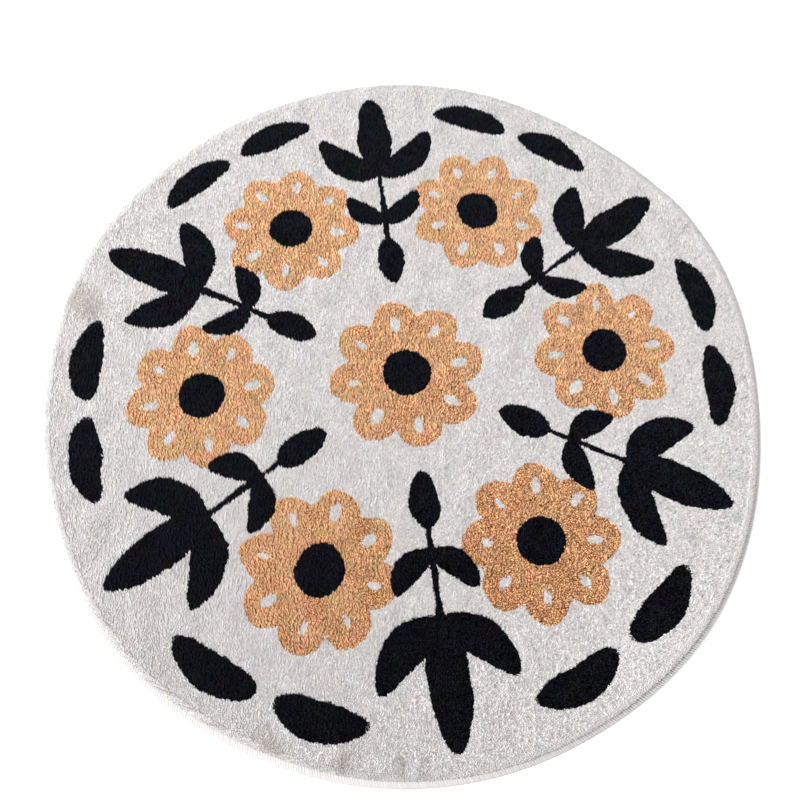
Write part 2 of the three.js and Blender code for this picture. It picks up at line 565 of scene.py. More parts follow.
def turned(x, y, from_x, from_y, turn_deg):
    """Places as seen from one point, with the first coordinate along one direction."""
    turn = math.radians(turn_deg)
    along = (x - from_x) * math.cos(turn) + (y - from_y) * math.sin(turn)
    across = (y - from_y) * math.cos(turn) - (x - from_x) * math.sin(turn)
    return along, across


def on_ring(ring, angle_deg):
    return ring * math.cos(math.radians(angle_deg)), ring * math.sin(math.radians(angle_deg))


def leaf_reach(x, y, foot, turn_deg, length, width, bend=0.0):
    """A pointed leaf along a bow: bend is how far its middle bows to one side, by its length."""
    along, across = turned(x, y, *foot, turn_deg)
    share = np.clip(along / length, 0, 1)
    across = across - bend * length * 4 * share * (1 - share)
    half = width / 2 * np.sqrt(np.sin(np.pi * share**LEAF_SWELL))
    past_end = np.hypot(np.where(along < 0, along, along - length), across)
    return np.where((along < 0) | (along > length), past_end, LEAF_SLANT * (np.abs(across) - half))


def stem_reach(x, y, angle_deg):
    along, across = turned(x, y, 0, 0, angle_deg)
    return np.hypot(along - np.clip(along, STEM_FROM, STEM_TO), across) - STEM_WIDTH / 2


def petal_reach(x, y, middle, size, petals, first_petal_deg):
    """The tan part of a flower: its petals, each a rounded oblong, and the body that joins them."""
    dx, dy = x - middle[0], y - middle[1]
    step = 2 * np.pi / petals
    angle = (np.arctan2(dy, dx) - math.radians(first_petal_deg) + step / 2) % step - step / 2
    radius = np.hypot(dx, dy)
    half_length = PETAL_HALF_LENGTH_SHARE * size
    half_width = PETAL_FULLNESS * size * math.sin(step / 2)
    along = (radius * np.cos(angle) - (size - half_length)) / half_length
    petal = (np.hypot(along, radius * np.sin(angle) / half_width) - 1) * min(half_length, half_width)
    return np.minimum(petal, radius - FLOWER_BODY_SHARE * size)


def seed_reach(x, y, middle, size, petals, first_petal_deg):
    """The off-white seed marks, one in each petal."""
    reach = 1 + 0 * x
    for petal in range(petals):
        along, across = turned(x, y, *middle, first_petal_deg + petal * 360 / petals)
        along = (along - SEED_RING_SHARE * size) / (SEED_LENGTH_SHARE * size)
        across = across / (SEED_WIDTH_SHARE * size)
        reach = np.minimum(reach, (np.hypot(along, across) - 1) * SEED_WIDTH_SHARE * size)
    return reach


def design_reaches(x, y):
    """Reach of the tan and of the black parts of the design."""
    tan = 1 + 0 * x
    black = 1 + 0 * x
    for row in FLOWER_RINGS:
        for flower in range(row["count"]):
            middle = on_ring(row["ring"], DESIGN_TURN_DEG + flower * 360 / row["count"])
            first_petal = row["first_petal_deg"] + flower * row["petal_step_deg"]
            near = np.hypot(x - middle[0], y - middle[1]) < FLOWER_REACH_SHARE * row["size"]
            u, v = x[near], y[near]
            petals = petal_reach(u, v, middle, row["size"], row["petals"], first_petal)
            seeds = seed_reach(u, v, middle, row["size"], row["petals"], first_petal)
            tan[near] = np.minimum(tan[near], np.maximum(petals, -seeds))
            eye = np.hypot(u - middle[0], v - middle[1]) - FLOWER_EYE_SHARE * row["size"]
            black[near] = np.minimum(black[near], eye)
    for group in range(GROUPS):
        line_deg = DESIGN_TURN_DEG + group * 360 / GROUPS
        between_deg = line_deg + 180 / GROUPS
        for row in LEAF_PAIRS:
            from_deg = between_deg if row["between"] else line_deg
            for side in (-1, 1):
                foot = on_ring(row["ring"], from_deg + side * row["round_deg"])
                turn_deg = from_deg + side * row["turn_deg"]
                leaf = leaf_reach(x, y, foot, turn_deg, row["length"], row["width"], side * row["bend"])
                black = np.minimum(black, leaf)
        for row in LONE_LEAVES:
            foot = on_ring(row["ring"], between_deg)
            leaf = leaf_reach(x, y, foot, between_deg + row["turn_deg"], row["length"], row["width"])
            black = np.minimum(black, leaf)
        black = np.minimum(black, stem_reach(x, y, between_deg))
    wander = wavy(x, y, wavelength=0.06, seed=5)
    fine = FINE_WANDER * wavy(x, y, wavelength=0.013, seed=6)
    return tan + TAN_WANDER * wander + fine, black + BLACK_WANDER * wander + fine


def wavy(x, y, wavelength, seed, waves=12):
    """A smooth uneven field, about -2 to 2, whose hills are about one wavelength apart."""
    shortest, longest = 0.7, 1.4
    rng = np.random.default_rng(seed)
    field = 0 * x
    for _ in range(waves):
        angle, start = rng.uniform(0, 2 * np.pi, 2)
        rate = 2 * np.pi / (wavelength * rng.uniform(shortest, longest))
        field = field + np.sin(rate * (x * math.cos(angle) + y * math.sin(angle)) + start)
    return field * math.sqrt(2 / waves)


# Mesh helpers.


def new_piece(name, mesh):
    piece = bpy.data.objects.new(name, mesh)
    bpy.context.scene.collection.objects.link(piece)
    return piece


def set_point_values(mesh, name, values, kind="FLOAT"):
    attribute = mesh.attributes.new(name, kind, "POINT")
    field = "vector" if kind == "FLOAT_VECTOR" else "value"
    attribute.data.foreach_set(field, np.ascontiguousarray(values, dtype=np.float32).ravel())


def new_points(name, places):
    """A mesh of bare points, for a tree to grow on."""
    mesh = bpy.data.meshes.new(name)
    mesh.vertices.add(len(places))
    mesh.vertices.foreach_set("co", places.astype(np.float32).ravel())
    return mesh


def set_corner_map(mesh, places):
    """The map that a bake of the material uses: one (u, v) for each face corner."""
    layer = mesh.uv_layers.new(name="OFBake")
    layer.data.foreach_set("uv", np.ascontiguousarray(places, dtype=np.float32).ravel())


def corner_points(mesh):
    """Index of the point at each face corner."""
    points = np.empty(len(mesh.loops), dtype=np.int32)
    mesh.loops.foreach_get("vertex_index", points)
    return points


def section_grid(rows, angle):
    """Points of a section of (radius, height) rows, turned round the rug's axis and laid. A radius
    is one number, or one for each direction."""
    radius = np.stack([row[0] + 0 * angle for row in rows])
    height = np.stack([row[1] + 0 * angle for row in rows])
    x, y = radius * np.cos(angle), radius * np.sin(angle)
    return laid(x, y, height), x, y


def band_faces(first, second, steps):
    """Four-sided faces between two rings of points, which start at these indices. They face to the
    left of a section that runs from the first ring to the second."""
    now = np.arange(steps)
    after = (now + 1) % steps
    return np.stack([first + now, second + now, second + after, first + after], axis=1).tolist()


def new_mesh(name, points, faces):
    mesh = bpy.data.meshes.new(name)
    mesh.from_pydata(points.tolist(), [], faces)
    mesh.shade_smooth()
    mesh.validate()
    return mesh


# Node helpers.


def add_node(tree, kind, sockets=None, **settings):
    """Adds a node: sockets gives its inputs by name or number, as a value or another node's output."""
    node = tree.nodes.new(kind)
    for name, value in settings.items():
        setattr(node, name, value)
    for key, value in (sockets or {}).items():
        if isinstance(value, bpy.types.NodeSocket):
            tree.links.new(value, node.inputs[key])
        else:
            node.inputs[key].default_value = value
    return node


def math_node(tree, operation, first, second=0.0, third=0.0):
    sockets = {0: first, 1: second, 2: third}
    return add_node(tree, "ShaderNodeMath", sockets, operation=operation).outputs[0]


def new_tree(kind, name, inputs, outputs):
    """A node group with named sockets. Returns it with its input node and its output node."""
    tree = bpy.data.node_groups.new(name, kind)
    for label, socket_type in inputs:
        tree.interface.new_socket(label, in_out="INPUT", socket_type=socket_type)
    for label, socket_type in outputs:
        tree.interface.new_socket(label, in_out="OUTPUT", socket_type=socket_type)
    return tree, tree.nodes.new("NodeGroupInput"), tree.nodes.new("NodeGroupOutput")


def grown(name, start_mesh, tree, values):
    """The mesh that a Geometry Nodes tree grows from a starting mesh, with the named inputs set."""
    start = new_piece(name + "_start", start_mesh)
    modifier = start.modifiers.new("grow", "NODES")
    modifier.node_group = tree
    for item in tree.interface.items_tree:
        if item.in_out == "INPUT" and item.name in values:
            modifier[item.identifier] = values[item.name]
    start.update_tag()
    depsgraph = bpy.context.evaluated_depsgraph_get()
    depsgraph.update()
    mesh = bpy.data.meshes.new_from_object(
        start.evaluated_get(depsgraph), preserve_all_data_layers=True, depsgraph=depsgraph
    )
    mesh.name = name
    start.modifiers.remove(modifier)
    bpy.data.objects.remove(start)
    bpy.data.meshes.remove(start_mesh)
    return mesh


def finish_growth(tree, points, instance, rotation, scale, material, end):
    """Places the instances, makes them real, and gives them their finish."""
    placed = add_node(
        tree,
        "GeometryNodeInstanceOnPoints",
        {"Points": points, "Instance": instance, "Rotation": rotation, "Scale": scale},
    )
    real = add_node(tree, "GeometryNodeRealizeInstances", {"Geometry": placed.outputs["Instances"]})
    smooth = add_node(tree, "GeometryNodeSetShadeSmooth", {"Geometry": real.outputs["Geometry"]})
    dressed = add_node(
        tree,
        "GeometryNodeSetMaterial",
        {"Geometry": smooth.outputs["Geometry"], "Material": material},
    )
    tree.links.new(dressed.outputs["Geometry"], end.inputs[0])


# Finishes.


def vector_node(tree, operation, sockets):
    return add_node(tree, "ShaderNodeVectorMath", sockets, operation=operation).outputs[0]


def colour_mix(tree, share, first, second):
    sockets = {0: share, 6: first, 7: second}
    return add_node(tree, "ShaderNodeMix", sockets, data_type="RGBA").outputs[2]


def object_place(tree):
    return add_node(tree, "ShaderNodeTexCoord").outputs["Object"]


def pile_colour_group():
    """Colour of a tuft from root to tip, darker at the root as painted shade, with its own tone, a soft
    mottling, and the painted shade of two hollows and the smudges.
    """
    mottles_a_metre = 60.0
    tree, start, end = new_tree(
        "ShaderNodeTree",
        "pile_colour",
        [
            ("Root", "NodeSocketColor"),
            ("Tip", "NodeSocketColor"),
            ("Painted Shade And Smudge Colour", "NodeSocketColor"),
            ("Height", "NodeSocketFloat"),
            ("Tip Share", "NodeSocketFloat"),
            ("Tone", "NodeSocketFloat"),
            ("Painted Shade And Smudge", "NodeSocketFloat"),
            ("Mottle", "NodeSocketFloat"),
        ],
        [("Colour", "NodeSocketColor")],
    )
    # Darker towards the root: painted shade down between the tufts.
    tip_colour = math_node(tree, "POWER", start.outputs["Height"], start.outputs["Tip Share"])
    yarn = colour_mix(tree, tip_colour, start.outputs["Root"], start.outputs["Tip"])
    shaded_and_smudged = colour_mix(tree, start.outputs["Painted Shade And Smudge"], yarn, start.outputs["Painted Shade And Smudge Colour"])
    toned = vector_node(tree, "SCALE", {0: shaded_and_smudged, 3: start.outputs["Tone"]})
    noise = add_node(
        tree,
        "ShaderNodeTexNoise",
        {"Vector": object_place(tree), "Scale": mottles_a_metre, "Detail": 2.0},
    )
    swing = vector_node(tree, "SUBTRACT", {0: noise.outputs["Color"], 1: (0.5, 0.5, 0.5)})
    swing = vector_node(tree, "SCALE", {0: swing, 3: start.outputs["Mottle"]})
    mottle = vector_node(tree, "ADD", {0: swing, 1: (1.0, 1.0, 1.0)})
    shaded = vector_node(tree, "MULTIPLY", {0: toned, 1: mottle})
    tree.links.new(shaded, end.inputs["Colour"])
    return tree


def surface_value(tree, name):
    return add_node(tree, "ShaderNodeAttribute", attribute_name=name).outputs["Fac"]


def new_finish(name, roughness, specular, sheen=0.0):
    """A material with its constants set on the shader. Returns it, its tree and the shader node."""
    material = bpy.data.materials.new(name)
    material.use_nodes = True
    shader = material.node_tree.nodes["Principled BSDF"]
    shader.inputs["Roughness"].default_value = roughness
    shader.inputs["Specular IOR Level"].default_value = specular
    shader.inputs["Sheen Weight"].default_value = sheen
    return material, material.node_tree, shader


def opaque(colour):
    return (*colour, 1.0)


def soft_normal(tree, softness):
    """The surface's normal, turned part of the way to where its tuft points: light passes between the
    fibres, so the sides of a tuft differ less than those of a solid would."""
    surface = add_node(tree, "ShaderNodeNewGeometry").outputs["Normal"]
    lean = add_node(tree, "ShaderNodeAttribute", attribute_name="lean").outputs["Vector"]
    pointing = vector_node(tree, "NORMALIZE", {0: lean})
    blend = add_node(tree, "ShaderNodeMix", {0: softness, 4: surface, 5: pointing}, data_type="VECTOR")
    return vector_node(tree, "NORMALIZE", {0: blend.outputs[1]})


def pile_finish(yarn, colours, pile, group):
    """The finish of one row of YARNS."""
    name = yarn["colour"]
    # Its root colour is painted shade, darker than its tip.
    root, tip = getattr(colours, name + "_root"), getattr(colours, name + "_tip")
    _, tree, shader = new_finish(name + "_wool", roughness=0.9, specular=yarn["shine"])
    colour = add_node(tree, "ShaderNodeGroup", node_tree=group)
    colour.inputs["Root"].default_value = opaque(root)
    colour.inputs["Tip"].default_value = opaque(tip)
    colour.inputs["Painted Shade And Smudge Colour"].default_value = opaque(colours.painted_shade_and_smudge if yarn["shaded_and_smudged"] else tip)
    colour.inputs["Mottle"].default_value = yarn["mottle"]
    colour.inputs["Tip Share"].default_value = pile.tip_share
    tree.links.new(surface_value(tree, "tip"), colour.inputs["Height"])
    tree.links.new(surface_value(tree, "tone"), colour.inputs["Tone"])
    tree.links.new(surface_value(tree, "painted_shade_and_smudge"), colour.inputs["Painted Shade And Smudge"])
    tree.links.new(colour.outputs["Colour"], shader.inputs["Base Color"])
    tree.links.new(soft_normal(tree, pile.softness), shader.inputs["Normal"])


def ground_finish(colours):
    """The dense lower pile between the tufts, in the design's three colours at their root shades: painted
    shade between the tufts.
    """
    half_blend = 0.0003
    _, tree, shader = new_finish("dense_wool", roughness=1.0, specular=0.05)
    ground = add_node(tree, "ShaderNodeRGB")
    ground.outputs[0].default_value = opaque(colours.white_root)
    colour = ground.outputs[0]
    for reach, root in (("tan_reach", colours.tan_root), ("black_reach", colours.black_root)):
        inside = add_node(
            tree,
            "ShaderNodeMapRange",
            {0: surface_value(tree, reach), 1: -half_blend, 2: half_blend, 3: 1.0, 4: 0.0},
        )
        colour = colour_mix(tree, inside.outputs[0], colour, opaque(root))
    tree.links.new(colour, shader.inputs["Base Color"])


def weave_finish(colours):
    """Plain weave, as the cloth shows underneath, darker between its threads. At scale 1 a wave
    texture has a little over three waves to the metre."""
    thread_pitch = 0.0022
    waves_a_metre = 3.2
    groove_shade = 0.62
    _, tree, shader = new_finish("plain_weave", roughness=0.95, specular=0.15, sheen=0.1)
    place = object_place(tree)
    scale = 1 / (thread_pitch * waves_a_metre)
    waves = []
    for direction in ("X", "Y"):
        thread = add_node(
            tree,
            "ShaderNodeTexWave",
            {"Vector": place, "Scale": scale, "Distortion": 0.6, "Detail": 1.0},
            wave_type="BANDS",
            bands_direction=direction,
        )
        waves.append(thread.outputs["Fac"])
    crossed = math_node(tree, "MULTIPLY", waves[0], waves[1])
    groove = [groove_shade * part for part in colours.backing]
    tint = colour_mix(tree, crossed, opaque(groove), opaque(colours.backing))
    bump = add_node(tree, "ShaderNodeBump", {"Strength": 0.6, "Distance": 0.0004, "Height": crossed})
    tree.links.new(tint, shader.inputs["Base Color"])
    tree.links.new(bump.outputs["Normal"], shader.inputs["Normal"])


def yarn_finish(colours):
    """Slightly glossy filament yarn with soft uneven fibres, each stitch with its own tone; the tone also
    carries painted shade on the side away from the lamp and on the core between the stitches.
    """
    fibre_size = 0.0006
    fibre_shade = 0.35
    _, tree, shader = new_finish("overlock_yarn", roughness=0.55, specular=0.35, sheen=0.2)
    fibres = add_node(
        tree,
        "ShaderNodeTexNoise",
        {"Vector": object_place(tree), "Scale": 1 / fibre_size, "Detail": 3.0, "Roughness": 0.6},
    ).outputs["Fac"]
    swing = math_node(tree, "SUBTRACT", fibres, 0.5)
    shade = math_node(tree, "MULTIPLY_ADD", swing, fibre_shade, 1.0)
    shade = math_node(tree, "MULTIPLY", shade, surface_value(tree, "tone"))
    tinted = vector_node(tree, "SCALE", {0: colours.edging, 3: shade})
    bump = add_node(tree, "ShaderNodeBump", {"Strength": 0.5, "Distance": 0.0002, "Height": fibres})
    tree.links.new(tinted, shader.inputs["Base Color"])
    tree.links.new(bump.outputs["Normal"], shader.inputs["Normal"])


# The woven cloth.


def lip_row(turn, angle):
    """The dense pile's surface at the rim, from level (turn 0) to its outermost line (turn 90 deg)."""
    reach = LIP_REACH + LIP_NAP_REACH * np.cos(angle - math.radians(LIP_NAP_DEG))
    return SHOULDER_INSIDE + reach * np.sin(turn), GROUND_TOP - LIP_DROP * (1 - np.cos(turn))


def cloth_section(angle):
    """Half of the cloth's section in each direction, as (radius, height) rows: out from the middle
    of its top, and then back along its underside."""
    top_rows, lip_rows = 48, 4
    top = [(share * SHOULDER_INSIDE, GROUND_TOP) for share in np.linspace(0, 1, top_rows + 1)[1:]]
    lip = [lip_row(turn, angle) for turn in np.linspace(0, np.pi / 2, lip_rows + 1)[1:]]
    under_lip = PILE_WALL - LIP_UNDERCUT
    wall = [
        (under_lip, EDGING_HEIGHT + SEWING_GAP),
        (under_lip, TONGUE_TOP),
        (TONGUE_REACH, TONGUE_TOP),
    ]
    rise_from = PILE_WALL - SEWING_GAP
    tongue = [
        (TONGUE_REACH, TONGUE_BOTTOM),
        (rise_from, TONGUE_BOTTOM),
        (rise_from - UNDERSIDE_RISE, 0.0),
    ]
    under_shares = np.linspace(0.97, 0.08, 12)
    underside = [(share * SHOULDER_INSIDE, 0.0) for share in under_shares]
    return top + lip + wall, tongue + underside


def disc_map(rows, angle, middle):
    """One face of the cloth laid out as a disc on the bake map, by distance along its section."""
    radius = np.stack([0 * angle, *(row[0] + 0 * angle for row in rows)])
    height = np.stack([rows[0][1] + 0 * angle, *(row[1] + 0 * angle for row in rows)])
    path = np.cumsum(np.hypot(np.diff(radius, axis=0), np.diff(height, axis=0)), axis=0)
    on_map = DISC_ON_MAP * path / path[-1]
    return np.stack([middle + on_map * np.cos(angle), middle + on_map * np.sin(angle)], axis=-1)


def make_cloth(above, below):
    """The cloth with the dense pile on it, in one finish above and another below."""
    steps = ROUND_STEPS
    angle = directions(steps)
    top, under = cloth_section(angle)
    rows = top + under
    grid, flat_x, flat_y = section_grid(rows, angle)
    middles = laid(np.zeros(2), np.zeros(2), np.array([GROUND_TOP, 0.0]))
    points = np.concatenate([middles, grid.reshape(-1, 3)])
    first, last = 2, 2 + (len(rows) - 1) * steps
    faces = [[0, first + step, first + (step + 1) % steps] for step in range(steps)]
    for ring in range(first, last, steps):
        faces += band_faces(ring, ring + steps, steps)
    faces += [[1, last + (step + 1) % steps, last + step] for step in range(steps)]
    mesh = new_mesh("woven_cloth", points, faces)
    x = np.concatenate([[0.0, 0.0], flat_x.ravel()])
    y = np.concatenate([[0.0, 0.0], flat_y.ravel()])
    tan, black = design_reaches(x, y)
    set_point_values(mesh, "tan_reach", tan)
    set_point_values(mesh, "black_reach", black)
    mesh.materials.append(above)
    mesh.materials.append(below)
    slots = np.ones(len(mesh.polygons), dtype=np.int32)
    slots[: steps * len(top)] = 0
    mesh.polygons.foreach_set("material_index", slots)
    near, far = DISC_ON_MAP + MAP_EDGE, 1 - DISC_ON_MAP - MAP_EDGE
    discs = [disc_map(top, angle, near), disc_map(under[::-1], angle, far)[::-1]]
    by_point = np.concatenate([[(near, near), (far, far)], np.concatenate(discs).reshape(-1, 2)])
    set_corner_map(mesh, by_point[corner_points(mesh)])
    return new_piece("woven_cloth", mesh)


# The cut pile.


def hexagon_grid(radius, pitch):
    """Places of a honeycomb grid inside a circle."""
    row_gap = pitch * math.sqrt(3) / 2
    rows = np.arange(-math.ceil(radius / row_gap), math.ceil(radius / row_gap) + 1)
    columns = np.arange(-math.ceil(radius / pitch) - 1, math.ceil(radius / pitch) + 2)
    row, column = np.meshgrid(rows, columns, indexing="ij")
    x = (column + 0.5 * (row % 2)) * pitch
    y = row * row_gap
    inside = np.hypot(x, y) < radius
    return x[inside], y[inside]


def clump_lean(x, y, pile, rng):
    """How far each tuft leans towards the rest of its clump, and a number from -1 to 1 for the
    clump. The clumps are jittered cells, longer along the nap, on lines that wander a little."""
    wander = 0.0016
    from_side = 0.12
    cells_out = math.ceil(1.1 * RUG_RADIUS / pile.clump_across) + 4
    size = 2 * cells_out
    warp_x = x + wander * wavy(x, y, wavelength=0.030, seed=21)
    warp_y = y + wander * wavy(x, y, wavelength=0.030, seed=22)
    along, across = turned(warp_x, warp_y, 0, 0, pile.nap_deg)
    u, v = along / pile.clump_along, across / pile.clump_across
    column, row = np.floor(u).astype(int), np.floor(v).astype(int)
    shift_u, shift_v = rng.uniform(from_side, 1 - from_side, (2, size, size))
    number = rng.uniform(-1, 1, (size, size))
    nearest = np.full(x.shape, np.inf)
    lean_u, lean_v, own = 0 * x, 0 * x, 0 * x
    for step_u in (-1, 0, 1):
        for step_v in (-1, 0, 1):
            cell = ((column + step_u) % size, (row + step_v) % size)
            du = (column + step_u + shift_u[cell] - u) * pile.clump_along
            dv = (row + step_v + shift_v[cell] - v) * pile.clump_across
            distance = (du / pile.clump_along) ** 2 + (dv / pile.clump_across) ** 2
            closer = distance < nearest
            nearest = np.where(closer, distance, nearest)
            lean_u = np.where(closer, du * pile.pull_along, lean_u)
            lean_v = np.where(closer, dv * pile.pull_across, lean_v)
            own = np.where(closer, number[cell], own)
    return lean_u, lean_v, own


def tuft_press(x, y):
    """How much of the hollows' depth the tufts take: the dense pile below them takes the rest."""
    return press_at(x, y) * (PILE_TOP - GROUND_TOP) / (PILE_TOP - EDGING_HEIGHT)


def side_share(x, y, column):
    """How much of its usual size a column of PILE_SIDES has at a place."""
    share = 1 + 0 * x
    outward = np.minimum(np.hypot(x, y) / PILE_SIDES_FROM, 1)
    for row in PILE_SIDES:
        share = share + row[column] * side_bump(np.arctan2(y, x), row) * outward
    return share


def field_tufts(pile):
    """The tufts on the flat of the rug, out to its shoulder."""
    rng = np.random.default_rng(pile.seed)
    x, y = hexagon_grid(SHOULDER_INSIDE, pile.pitch)
    x = x + rng.normal(0, TUFT_STRAY * pile.pitch, x.shape)
    y = y + rng.normal(0, TUFT_STRAY * pile.pitch, x.shape)
    along, across, clump = clump_lean(x, y, pile, rng)
    mapped_x, mapped_y = spread_to_rim(x, y)
    crease = crease_at(mapped_x, mapped_y)
    ruffle = 1 + CREASE_RUFFLE * np.minimum(np.abs(crease) / FULL_CREASE, 1)
    nap_share = side_share(x, y, "flatter") + NAP_WAVE_ALONG * wavy(x, y, wavelength=0.05, seed=31)
    along = along + pile.nap_lean * nap_share
    across = across + NAP_WAVE_ACROSS * pile.nap_lean * wavy(x, y, wavelength=0.05, seed=32)
    along = along + rng.normal(0, pile.scatter, x.shape) * ruffle
    across = across + rng.normal(0, pile.scatter, x.shape) * ruffle
    rise = CLUMP_RISE * clump + TUFT_RISE * rng.uniform(-1, 1, x.shape) - MEAN_DROP
    height = TUFT_HEIGHT + pile.unevenness * rise - tuft_press(mapped_x, mapped_y) + crease
    nap = math.radians(pile.nap_deg)
    lean_x = along * math.cos(nap) - across * math.sin(nap)
    lean_y = along * math.sin(nap) + across * math.cos(nap)
    lean = np.stack([lean_x, lean_y, np.maximum(height, LEAST_HEIGHT)], axis=-1)
    root = laid(x, y, np.full(x.shape, GROUND_TOP - ROOT_DEPTH))
    tone = pile.tone_spread * (CLUMP_TONE * clump + rng.normal(0, 1, x.shape))
    return {"x": x, "y": y, "root": root, "lean": lean, "tone": tone}


def lip_tufts(pile):
    """The tufts on the lip of the dense pile, fanned out over the edging."""
    rng = np.random.default_rng(pile.seed + 1)
    parts = {"x": [], "y": [], "root": [], "lean": [], "tone": []}
    nap = math.radians(pile.nap_deg)
    count = round(2 * math.pi * SHOULDER_INSIDE / (LIP_PITCH_SHARE * pile.pitch))
    for row in range(LIP_ROWS):
        angle = (np.arange(count) + rng.uniform(-0.5, 0.5, count)) / count * 2 * np.pi
        line = row + rng.uniform(-LIP_ROW_OVERLAP, 1 + LIP_ROW_OVERLAP, count)
        turn = np.arcsin(np.clip(line / LIP_ROWS, 0, 1))
        radius, height = lip_row(turn, angle)
        clump = wavy(angle * radius, 0 * angle, wavelength=0.006, seed=40)
        fan = LIP_FAN_SHARE * turn + rng.normal(0, LIP_FAN_STRAY, count)
        x, y = radius * np.cos(angle), radius * np.sin(angle)
        length = LIP_LENGTH_SHARE + LIP_LONGER_OUTSIDE * np.sin(turn) + LIP_LENGTH_WAVE * clump
        length = TUFT_HEIGHT * (length + rng.normal(0, LIP_LENGTH_STRAY, count))
        length = length - tuft_press(*spread_to_rim(x, y))
        out = length * np.sin(fan)
        aside = LIP_ASIDE_WAVE * clump + rng.normal(0, pile.scatter, count)
        nap_lean = pile.nap_lean * side_share(x, y, "flatter") * np.cos(fan)
        brush_x, brush_y = np.sin(turn) * pile.rim_brush[0], np.sin(turn) * pile.rim_brush[1]
        lean_x = out * np.cos(angle) - aside * np.sin(angle) + nap_lean * math.cos(nap) + brush_x
        lean_y = out * np.sin(angle) + aside * np.cos(angle) + nap_lean * math.sin(nap) + brush_y
        parts["x"].append(x)
        parts["y"].append(y)
        parts["root"].append(laid(x, y, height - ROOT_DEPTH))
        parts["lean"].append(np.stack([lean_x, lean_y, length * np.cos(fan)], axis=-1))
        # The lip's tufts are made paler: a painted highlight along the rim's shoulder.
        parts["tone"].append(rng.normal(LIP_PAINTED_HIGHLIGHT, LIP_TONE_SHARE * pile.tone_spread, count))
    return {name: np.concatenate(values) for name, values in parts.items()}


def tuft_plan(pile):
    """Root, lean, tone, painted shade and smudge, and yarn of every tuft, and its share of a turn round the
    rug.
    """
    field, lip = field_tufts(pile), lip_tufts(pile)
    plan = {name: np.concatenate([field[name], lip[name]]) for name in field}
    tan, black = design_reaches(plan["x"], plan["y"])
    plan["yarn"] = np.where(black < 0, BLACK, np.where(tan < 0, TAN, WHITE))
    contrast = np.array([yarn["contrast"] for yarn in YARNS])[plan["yarn"]]
    contrast = contrast * side_share(plan["x"], plan["y"], "contrast")
    plan["tone"] = 1 + contrast * plan["tone"]
    # Painted shade in two hollows by the rim, and smudges.
    plan["painted_shade_and_smudge"] = painted_shade_and_smudge_at(plan["x"], plan["y"])
    plan["turn_share"] = (np.arctan2(plan["y"], plan["x"]) / (2 * np.pi)) % 1
    return plan


def tuft_tree():
    """Grows one tapered tuft of three sides on each point, along the point's lean."""
    tree, start, end = new_tree(
        "GeometryNodeTree",
        "cut_pile_tufts",
        [
            ("Roots", "NodeSocketGeometry"),
            ("Tuft Width", "NodeSocketFloat"),
            ("Seed", "NodeSocketInt"),
            ("Yarn", "NodeSocketMaterial"),
        ],
        [("Tufts", "NodeSocketGeometry")],
    )
    cone = add_node(
        tree,
        "GeometryNodeMeshCone",
        {"Vertices": 3, "Radius Top": 0.0, "Radius Bottom": 1.0, "Depth": 1.0},
        fill_type="NGON",
    )
    place = add_node(tree, "GeometryNodeInputPosition")
    up = add_node(tree, "ShaderNodeSeparateXYZ", {0: place.outputs[0]})
    marked = add_node(
        tree,
        "GeometryNodeStoreNamedAttribute",
        {"Geometry": cone.outputs["Mesh"], "Name": "tip", "Value": up.outputs["Z"]},
        data_type="FLOAT",
        domain="POINT",
    )
    lean = add_node(tree, "GeometryNodeInputNamedAttribute", {"Name": "lean"}, data_type="FLOAT_VECTOR")
    length = add_node(tree, "ShaderNodeVectorMath", {0: lean.outputs["Attribute"]}, operation="LENGTH")
    aligned = add_node(
        tree, "FunctionNodeAlignRotationToVector", {"Vector": lean.outputs["Attribute"]}, axis="Z"
    )
    turn = add_node(
        tree,
        "FunctionNodeRandomValue",
        {2: 0.0, 3: 2 * math.pi, "Seed": start.outputs["Seed"]},
        data_type="FLOAT",
    )
    about_up = add_node(
        tree, "FunctionNodeAxisAngleToRotation", {"Axis": (0, 0, 1), "Angle": turn.outputs[1]}
    )
    rotation = add_node(
        tree,
        "FunctionNodeRotateRotation",
        {"Rotation": aligned.outputs[0], "Rotate By": about_up.outputs[0]},
        rotation_space="LOCAL",
    )
    scale = add_node(
        tree,
        "ShaderNodeCombineXYZ",
        {0: start.outputs["Tuft Width"], 1: start.outputs["Tuft Width"], 2: length.outputs["Value"]},
    )
    finish_growth(
        tree,
        start.outputs["Roots"],
        marked.outputs["Geometry"],
        rotation.outputs[0],
        scale.outputs[0],
        start.outputs["Yarn"],
        end,
    )
    return tree


def cell_map(mesh, copies, corner_places):
    """Gives each copy of a repeated shape its own small square on the bake map."""
    across = math.ceil(math.sqrt(copies))
    cell = np.arange(copies)
    start = np.stack([cell % across, cell // across], axis=-1)[:, None, :]
    set_corner_map(mesh, (start + corner_places[None, :, :]) / across)


def plant_piece(name, plan, chosen, pile, tree, material):
    """One piece of pile: the chosen tufts of the plan, in one yarn."""
    roots = new_points(name + "_roots", plan["root"][chosen])
    set_point_values(roots, "lean", plan["lean"][chosen], kind="FLOAT_VECTOR")
    set_point_values(roots, "tone", plan["tone"][chosen])
    set_point_values(roots, "painted_shade_and_smudge", plan["painted_shade_and_smudge"][chosen])
    values = {"Tuft Width": pile.tuft_width, "Seed": pile.seed, "Yarn": material}
    mesh = grown(name, roots, tree, values)
    corners = corner_points(mesh)[:TUFT_CORNERS]
    height = np.empty(len(mesh.vertices), dtype=np.float32)
    mesh.attributes["tip"].data.foreach_get("value", height)
    tip = height[corners] > 0.5
    low, high = CELL_EDGE, 1 - CELL_EDGE
    base_u = np.where(corners == corners[~tip].min(), low, high)
    places = np.stack([np.where(tip, 0.5, base_u), np.where(tip, high, low)], axis=-1)
    cell_map(mesh, int(chosen.sum()), places)
    return new_piece(name, mesh)


# The overlock edging.


